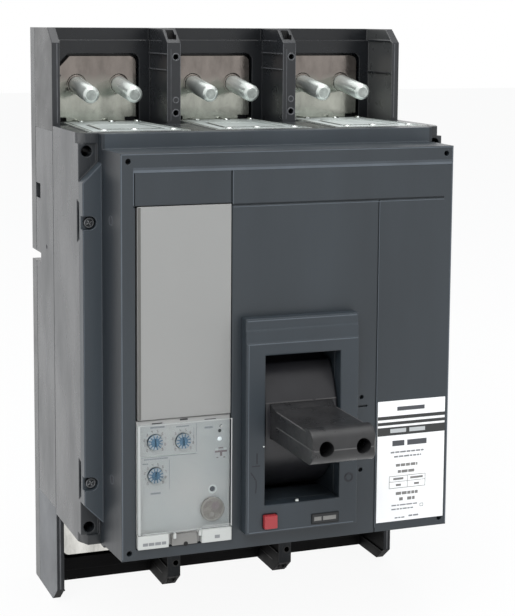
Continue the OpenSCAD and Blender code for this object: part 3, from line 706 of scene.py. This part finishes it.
def nameplate_print():
    """Bands, an empty table and plain bars in place of the nameplate's text."""
    x0, x1, _, d, _, _ = box_mm("nameplate")
    dark = Builder("nameplate")
    for z0, z1 in ((-10.2, -8.3), (-13.3, -11.6), (-19.1, -14.5)):
        dark.flat(0, x1 - x0, z0, z1, d)
    dark.done("nameplate_bands", "band", "breaker")
    light = Builder("nameplate")
    for a, b in ((7.5, 17), (19, 28.5)):
        light.flat(a, b, -17.7, -15.5, d + PRINT_T)
    light.done("nameplate_band_bars", "pale", "breaker")
    bold = Builder("nameplate")
    for a, b, z0, z1 in ((11.5, 28, -5.6, -3.4), (8.9, 16.1, -25.2, -22.2), (17.9, 29.6, -25.2, -22.2)):
        bold.flat(a, b, z0, z1, d)
    bold.done("nameplate_bold_bars", "ink", "breaker")
    fine = Builder("nameplate")
    rng = random.Random(11)
    for a, b, z, h in (
        (8, 28.7, -28.7, 0.9), (10.1, 26.5, -31.2, 0.9), (9, 24.6, -58.6, 0.7),
        (9, 22.4, -60.8, 0.7), (11.1, 17, -65.7, 0.7), (19.5, 26.2, -65.2, 0.9),
    ):
        fine.words(a, b, z, h, d, rng)
    fine.frame(26.2, 28.3, -60.6, -58.8, d, 0.25)
    fine.done("nameplate_fine_bars", "faint", "breaker")
    plain = Builder("nameplate")
    for a, b, z, h in ((11.3, 24.3, -36.1, 1.5), (12.5, 23.3, -39.7, 1.5), (11.5, 24.8, -52, 1.6)):
        plain.words(a, b, z, h, d, rng)
    for a, b in ((13.6, 15.8), (18.5, 21), (21.5, 23)):
        plain.flat(a, b, -56.1, -54.4, d)
    # the table, with a bar in each of its four cells
    plain.frame(7.3, 29.3, -49, -42, d, 0.25)
    plain.flat(7.5, 29.1, -45.4, -45.2, d)
    plain.flat(18.3, 18.5, -48.8, -42.2, d)
    for a, b, z in ((9.9, 15.9, -43.7), (20.1, 27.7, -43.7), (11.5, 14.5, -47.2), (22.5, 25.5, -47.2)):
        plain.flat(a, b, z - 0.55, z + 0.55, d)
    plain.done("nameplate_bars", "tab", "breaker")


def rating_strip_print():
    """Two plain bars and a dark outline on the rating strip."""
    x0, x1, _, d, z0, z1 = box_mm("rating_strip")
    bars = Builder()
    bars.flat(x0 + 1.3, x0 + 5.6, z0 + 1.6, z1 - 1.6, d)
    bars.flat(x0 + 6.4, x1 - 1.5, z0 + 1.6, z1 - 1.6, d)
    bars.done("rating_strip_bars", "tab", "breaker")
    rim = Builder()
    rim.frame(x0, x1, z0, z1, d, 0.35, 0.1)
    rim.done("rating_strip_rim", "dark", "breaker")


# ---------------------------------------------------------------- cover and escutcheon

def escutcheon_marks():
    """The switch symbols, painted highlights on the lit edges of the raised frame, and two bright zinc nubs
    that paint glints.
    """
    x0, x1, _, d, z0, z1 = box_mm("escutcheon")
    marks = Builder("escutcheon")
    marks.stroke((6.05, -70.9), (6.05, -76.6), 0.8, d)
    marks.stroke((3.25, -77.8), (7.95, -77.8), 0.6, d)
    bend = [(2.55, -81), (4.25, -83.4), (5.65, -85.8), (5.75, -88.7), (5.35, -92.4)]
    for a, b in zip(bend, bend[1:]):
        marks.stroke(a, b, 0.7, d)
    marks.done("escutcheon_marks", "mark", "breaker")
    rings = Builder("escutcheon")
    rings.ring(58.65, -88.9, d, 2.1, 0.6)
    rings.done("escutcheon_ring", "mark", "breaker", smooth=True)
    # painted highlights along the edges of the raised frame
    lines = Builder()
    lines.flat(x0 + 0.9, x1 - 0.9, z1 - 1.4, z1 - 0.9, d - 1.2, 0.12)
    lines.flat(x0 + 0.9, x1 - 0.6, z1 - 13.6, z1 - 13.1, d, 0.1)
    lines.flat(x0 + 1.1, x0 + 1.5, z0 + 1, z1 - 13.5, d, 0.1)
    lines.flat(x0 + 2, x1 - 2, z0 + 0.6, z0 + 1.1, d, 0.1)
    lines.done("escutcheon_edges", "line", "breaker")
    nubs = Builder("escutcheon")
    # two glints painted as bright nubs: one beside the window, and one on its sill
    nubs.lathe(nubs.at(9.85, d, -67.7), FORWARD, [(0.45, 0), (0.3, 0.12), (0, 0.15)], 16)
    nubs.lathe(nubs.at(29.65, d - 2.5, -99.5), (0, 0, 1), [(1.2, 0), (1.0, 1.0), (0, 1.5)], 16)
    nubs.done("escutcheon_glint_nubs", "rivet", "breaker", smooth=True)


def cover_lines():
    """Painted highlights on the lit edge of each scored line and where the moulding turns, the marks on the
    cover's sides, and painted shade along the blank panel's edge.
    """
    d = front("front_cover")
    flange_d = front("middle_case") + 7
    edges = Builder()
    edges.flat(-86.4, 92.4, 92.2, 93.5, d, 0.06)
    edges.flat(-86.5, -86.1, 75.8, 92.2, d, 0.06)
    for x0, x1, z0, z1 in (
        (-33.2, -32.9, 74.8, 91.9), (-32.9, 88, 73.1, 73.4), (49.6, 49.9, -106, 73.1),
        (-92.6, 92.6, 101.2, 101.7),
    ):
        edges.flat(x0, x1, z0, z1, d, 0.08)
    for side in (-1, 1):
        edges.flat(*span(side, 92.9, 92.3), -107.5, 101.2, d, 0.08)
        # painted highlight along the flange's outer edge, with gaps at its screws
        for z0, z1 in ((-86, -78.4), (-70.6, 60.1), (67.9, 84.5)):
            edges.flat(*span(side, 104.9, 104.4), z0, z1, flange_d, 0.06)
        for z0, z1 in ((84.6, 94.3), (-86.2, -95.9)):
            edges.stroke((side * 104.6, z0), (side * 94.9, z1), 0.5, flange_d)
    edges.done("cover_lit_edges", "line", "breaker")
    # round marks on the cover's sides: a dark spot paints the shade in each dimple, and a lighter ring paints
    # the highlight on its rim
    marks = Builder()
    rims = Builder()
    for side in (-1, 1):
        for z in (66.8, -68.8):
            spot = at(side * 93.95, 132, z)
            normal = (side * 29, -1.8, 0)
            marks.disc(spot, normal, 2.1, 0.05, 28)
            rims.lathe(spot, normal, [(2.1, 0), (2.25, 0.12), (2.6, 0.12), (2.75, 0)], 28)
    marks.done("cover_side_marks", "mark", "breaker")
    rims.done("cover_side_mark_rims", "soft_line", "breaker", smooth=True)
    # a softer painted highlight just above the first lit edge
    soft = Builder()
    soft.flat(-86.4, 92.4, 93.5, 94.8, d, 0.06)
    soft.done("cover_soft_edges", "soft_line", "breaker")
    # painted shade along the blank panel's left edge
    panel_edge = Builder()
    x0, _, _, panel_d, z0, z1 = box_mm("blank_panel")
    panel_edge.flat(x0 + 0.2, x0 + 1.7, z0 + 0.3, z1 - 0.3, panel_d)
    panel_edge.done("blank_panel_edge", "shadow_edge", "breaker")


def screw_crosses():
    """The cross and the rim on the head of each flange screw."""
    x0, x1, _, d, z0, z1 = box_mm("flange_screws")
    head_r = 2.7
    cross = Builder()
    for x in (x0 + head_r, x1 - head_r):
        for z in (z1 - head_r, z0 + head_r):
            for turn in (0.5, 0.5 + math.pi / 2):
                c, s = 1.6 * math.cos(turn), 1.6 * math.sin(turn)
                cross.stroke((x - c, z - s), (x + c, z + s), 0.5, d, 0.08)
            cross.ring(x, z, d - 0.05, 2.3, 0.25)
    cross.done("flange_screw_crosses", "slot", "breaker")


# ---------------------------------------------------------------- toggle

def toggle_lines():
    """The handle's parting line, lighter to paint its highlight, painted highlights along the lit edges of
    its top, and a painted highlight on the fillet where it leaves the barrel.
    """
    nose_d = front("handle")
    half_width = 17
    left = middle_x("handle") - half_width
    right = middle_x("handle") + half_width
    seam_z = (-41.35, -40.75)
    start_d = 160
    seam = Builder()
    along = [
        (left + 0.3, start_d), (left - 0.1, start_d),
        (left - 0.1, nose_d - 1.6), (left + 0.3, nose_d - 1.6),
    ]
    corner = [
        (left + 0.2, nose_d - 1.8), (left - 0.1, nose_d - 1.7),
        (left + 1.45, nose_d + 0.1), (left + 1.6, nose_d - 0.3),
    ]
    seam.slab(along, *seam_z)
    seam.slab(corner, *seam_z)
    # across the nose, with gaps at the two cored holes
    for a, b in ((left + 1.5, -10.4), (-2.6, 9.6), (17.4, right - 1.5)):
        seam.block(a, b, nose_d - 0.5, nose_d + 0.1, *seam_z)
    # painted highlights along the two top edges of the handle
    for x in (left - 0.04, right - 0.46):
        seam.block(x, x + 0.5, start_d, 200, -33.5, -32.98)
    seam.done("handle_seam", "seam", "toggle")
    # painted highlight on the fillet where the handle leaves the barrel, with a small V notch
    line = Builder()
    root_d = 152.2
    for a, b in ((-16.6, 9.4), (12.4, 23.6)):
        line.block(a, b, root_d - 0.6, root_d + 0.15, -30.3, -29.8)
    notch = [(9.4, -30.0), (10.9, -31.2), (12.4, -30.0)]
    for a, b in zip(notch, notch[1:]):
        line.stroke(a, b, 0.5, root_d - 0.4, 0.6)
    line.done("barrel_fillet_highlight", "seam", "toggle")


# ---------------------------------------------------------------- vent plates, bars and walls

def vent_plate_detail(name):
    """Rivets, pressed rims and grooves on the open face of a vent plate."""
    x0, x1, d0, d1, z0, z1 = box_mm(name)
    pole = middle_x(name)
    up = 1 if z1 > 0 else -1
    top = z1 if up > 0 else z0
    taper = 5

    def half(d):
        """Half the plate's width at a depth: the plate's sides draw in by the taper from front to back."""
        return (x1 - x0) / 2 - taper * (d1 - d) / (d1 - d0)

    def line(b, start, end, width, rise):
        """A line on the plate from (x, d) to (x, d)."""
        (xa, da), (xb, db) = start, end
        n = Vector((da - db, xb - xa)).normalized() * width / 2
        ring = [(xa + n.x, da + n.y), (xb + n.x, db + n.y), (xb - n.x, db - n.y), (xa - n.x, da - n.y)]
        low, high = sorted((top, top + up * rise))
        b.slab([(pole + x, d) for x, d in ring], low, high)

    rivets = Builder()
    for dx, d in ((-18, d1 - 7), (0, d1 - 12), (21, d1 - 9), (-12, d0 + 4), (6, d0 + 5), (21, d0 + 5)):
        profile = [(2.1, 0), (2.0, 0.35), (1.5, 0.75), (0.8, 0.95), (0, 1.0)]
        rivets.lathe(at(pole + dx, d, top), (0, 0, up), profile, 20)
    rivets.done(name + "_rivets", "rivet", "breaker", smooth=True)
    rim = Builder()
    line(rim, (-half(d1 - 0.7), d1 - 0.7), (half(d1 - 0.7), d1 - 0.7), 1.2, 0.25)
    for s in (-1, 1):
        line(rim, (s * (half(d1) - 0.8), d1 - 1), (s * (half(d0) - 0.8), d0), 1.2, 0.25)
    pressed = [(-17, 88), (17, 88), (14.5, 52), (-14.5, 52), (-17, 88)]
    for a, b in zip(pressed, pressed[1:]):
        line(rim, a, b, 0.9, 0.3)
    rim.done(name + "_rim", "rivet", "breaker")
    groove = Builder()
    line(groove, (-half(d1) + 3, d1 - 3.2), (half(d1) - 3, d1 - 3.2), 1.0, 0.06)
    for s in (-1, 1):
        line(groove, (s * (half(d1) - 3), d1 - 3.2), (s * (half(d0) - 3), d0 + 2), 0.7, 0.06)
    line(groove, (-18, 89.4), (18, 89.4), 0.8, 0.06)
    for s in (1, -1):
        line(groove, (s * 18, 89.4), (s * 15.4, 50.8), 0.7, 0.06)
    for s in (-1, 1):
        line(groove, (s * (half(d1) + 1.1), d1), (s * (half(d0 + 33) + 1.1), d0 + 33), 1.3, 0.06)
    groove.done(name + "_grooves", "dark", "breaker")


def bolt_detail(end, i):
    """A thin collar on the bar round each bolt, over its clearance hole, and the bolt's turned end."""
    sign = 1 if end == "upper" else -1
    bar = f"{end}_terminal_{i}"
    half_pitch, bolt_z, slant = 12.5, 131, math.radians(8)
    roots = [at(middle_x(bar) + dx, front(bar), sign * bolt_z) for dx in (-half_pitch, half_pitch)]
    collars = Builder()
    for root in roots:
        collars.lathe(root, FORWARD, [(4.6, -0.4), (4.6, 0.12), (5.4, 0.12), (5.6, -0.02)], 40)
    collars.done(
        f"{end}_bolt_collars_{i}", "tinned" if sign > 0 else "tinned_low", "breaker"
    )
    ends = Builder()
    axis = Vector((0, -math.cos(slant), -math.sin(slant)))
    length = 33 if sign > 0 else 13
    for root in roots:
        ends.disc(root + axis * length * MM, axis, 2.9, 0.06, 32, low=-0.2)
    ends.done(f"{end}_bolt_ends_{i}", "bolt_end", "breaker")


def wall_details(end):
    """Painted highlights on the ring, hole rims and edge lines on the front of each inner wall, darker on the
    lower walls to paint their shade, and dark sheets that paint the shade in the pocket in its top.
    """
    sign = 1 if end == "upper" else -1
    wall_d = front(f"{end}_terminal_housing")
    light = Builder()
    dark = Builder()
    for x in (-35, 35):
        for z, r in ((123.2, 1.6), (116, 1.95), (147.5, 1.95)):
            light.ring(x + 1.2, sign * z, wall_d, r, 0.35)
        for dx, top in ((-3.85, 155), (-1.7, 152), (3.75, 155)):
            light.flat(x + dx - 0.14, x + dx + 0.14, *span(sign, 111.5, top), wall_d, 0.12)
        # the pocket's painted shade: dark sheets on two sides, a back and a floor
        for dx in (-2.15, 2.15):
            dark.block(x + dx - 0.05, x + dx + 0.05, 44.4, 50.4, *span(sign, 155.6, 160))
        dark.block(x - 2.1, x + 2.1, 44.1, 44.4, *span(sign, 155.6, 162.4))
        dark.block(x - 2.1, x + 2.1, 44.4, 50.4, *span(sign, 155.55, 155.9))
        # painted highlights on the steps on the wall's left side
        for z in (148.5, 139.5):
            light.block(x - 4.7, x - 4.5, 22, 52.5, *span(sign, z + 0.5, z + 1.02))
        light.block(x - 4.08, x - 3.95, 22, 43, *span(sign, 156.2, 156.6))
    light.done(
        f"{end}_wall_edges", "wall_line" if sign > 0 else "dull_line", "breaker"
    )
    dark.done(f"{end}_wall_pocket_shade", "dark", "breaker")
    # painted highlights along the front edges of the outer walls
    rims = Builder()
    rim = (101.9, 102.4) if sign > 0 else (102.4, 103.2)
    for side in (-1, 1):
        rims.flat(*span(side, *rim), *span(sign, 111.5, 155), wall_d, 0.08)
    rims.done(f"{end}_outer_wall_rims", "wall_line", "breaker")


trip_unit_print()
dial_faces()
clear_cover_edges()
seal_detail()
nameplate_print()
rating_strip_print()
escutcheon_marks()
cover_lines()
screw_crosses()
toggle_lines()
for end in ("upper", "lower"):
    wall_details(end)
    for pole in (1, 2, 3):
        vent_plate_detail(f"{end}_vent_plate_{pole}")
        bolt_detail(end, pole)


# ---------------------------------------------------------------- stage, light and camera

def either(tree, a, b):
    """1 where either of two outputs is 1."""
    node = tree.nodes.new("ShaderNodeMath")
    node.operation = "MAXIMUM"
    tree.links.new(a, node.inputs[0])
    tree.links.new(b, node.inputs[1])
    return node.outputs[0]


def mixed(tree, share, first, second):
    """The second shader over the first, by a share from 0 to 1."""
    node = tree.nodes.new("ShaderNodeMixShader")
    tree.links.new(share, node.inputs["Fac"])
    tree.links.new(first, node.inputs[1])
    tree.links.new(second, node.inputs[2])
    return node.outputs[0]


def pale_floor():
    """A floor just under the breaker, nearly white to the camera and in reflections."""
    half, gap, whiteness = 6.0, 0.0002, 0.93
    lo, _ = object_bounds()
    z = lo.z - gap
    mesh = bpy.data.meshes.new("floor")
    corners = [(-half, -half, z), (half, -half, z), (half, half, z), (-half, half, z)]
    mesh.from_pydata(corners, [], [(0, 1, 2, 3)])
    floor = bpy.data.objects.new("floor", mesh)
    bpy.context.scene.collection.objects.link(floor)
    floor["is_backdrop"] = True
    mat = bpy.data.materials.new("pale_floor")
    mat.use_nodes = True
    tree = mat.node_tree
    bsdf = tree.nodes["Principled BSDF"]
    bsdf.inputs["Base Color"].default_value = (0.86, 0.86, 0.86, 1)
    bsdf.inputs["Roughness"].default_value = 0.9
    bsdf.inputs["Specular IOR Level"].default_value = 0.0
    white = tree.nodes.new("ShaderNodeEmission")
    white.inputs["Strength"].default_value = 1.0
    path = tree.nodes.new("ShaderNodeLightPath").outputs
    share = tree.nodes.new("ShaderNodeMath")
    share.operation = "MULTIPLY"
    share.inputs[1].default_value = whiteness
    tree.links.new(either(tree, path["Is Camera Ray"], path["Is Glossy Ray"]), share.inputs[0])
    surface = mixed(tree, share.outputs[0], bsdf.outputs[0], white.outputs[0])
    tree.links.new(surface, tree.nodes["Material Output"].inputs["Surface"])
    mesh.materials.append(mat)


def studio():
    """A soft bluish light all round, white where it is seen directly, in reflections or through the cover."""
    world = bpy.data.worlds.new("studio")
    bpy.context.scene.world = world
    world.use_nodes = True
    tree = world.node_tree
    dim = tree.nodes["Background"]
    dim.inputs["Color"].default_value = (0.9, 0.95, 1.0, 1)
    dim.inputs["Strength"].default_value = 0.45
    bright = tree.nodes.new("ShaderNodeBackground")
    bright.inputs["Color"].default_value = (1, 1, 1, 1)
    bright.inputs["Strength"].default_value = 1.0
    path = tree.nodes.new("ShaderNodeLightPath").outputs
    seen_or_reflected = either(tree, path["Is Camera Ray"], path["Is Glossy Ray"])
    white = either(tree, seen_or_reflected, path["Is Transmission Ray"])
    surface = mixed(tree, white, dim.outputs[0], bright.outputs[0])
    tree.links.new(surface, tree.nodes["World Output"].inputs["Surface"])


def lamp(name, place, size, power, glossy=False):
    """A square area light that points at the breaker."""
    data = bpy.data.lights.new(name, "AREA")
    data.shape = "RECTANGLE"
    data.size = size
    data.size_y = size
    data.energy = power
    obj = bpy.data.objects.new(name, data)
    bpy.context.scene.collection.objects.link(obj)
    obj.location = place
    obj.rotation_mode = "QUATERNION"
    target = Vector((0, -0.08, 0))
    obj.rotation_quaternion = (target - Vector(place)).to_track_quat("-Z", "Y")
    obj.visible_glossy = glossy


def camera():
    """The camera fitted to the photo, turned down a little so that it needs less shift."""
    yaw, pitch, roll = (math.radians(a) for a in (20.817, 7.158, 0.395))
    ahead = Vector((math.sin(yaw), math.cos(yaw), 0))
    across = Vector((math.cos(yaw), -math.sin(yaw), 0))
    look = ahead * math.cos(pitch) + Vector((0, 0, -math.sin(pitch)))
    up = ahead * math.sin(pitch) + Vector((0, 0, math.cos(pitch)))
    right = across * math.cos(roll) + up * math.sin(roll)
    up = up * math.cos(roll) - across * math.sin(roll)
    data = bpy.data.cameras.new("camera")
    data.sensor_width = 36
    data.lens = 91.448
    data.shift_y = -0.15
    obj = bpy.data.objects.new("camera", data)
    bpy.context.scene.collection.objects.link(obj)
    view = Matrix((right, up, -look)).transposed().to_4x4()
    view.translation = Vector((-0.3047, -0.8963, 0.1690))
    obj.matrix_world = view
    bpy.context.scene.camera = obj


pale_floor()
studio()
lamp("key", (-1.1, -1.6, 1.7), 1.4, 34)
lamp("fill", (1.6, -1.5, 0.7), 1.4, 12)
lamp("top", (0, -0.3, 1.9), 1.2, 19, glossy=True)
camera()
bpy.context.scene.view_settings.view_transform = "Standard"
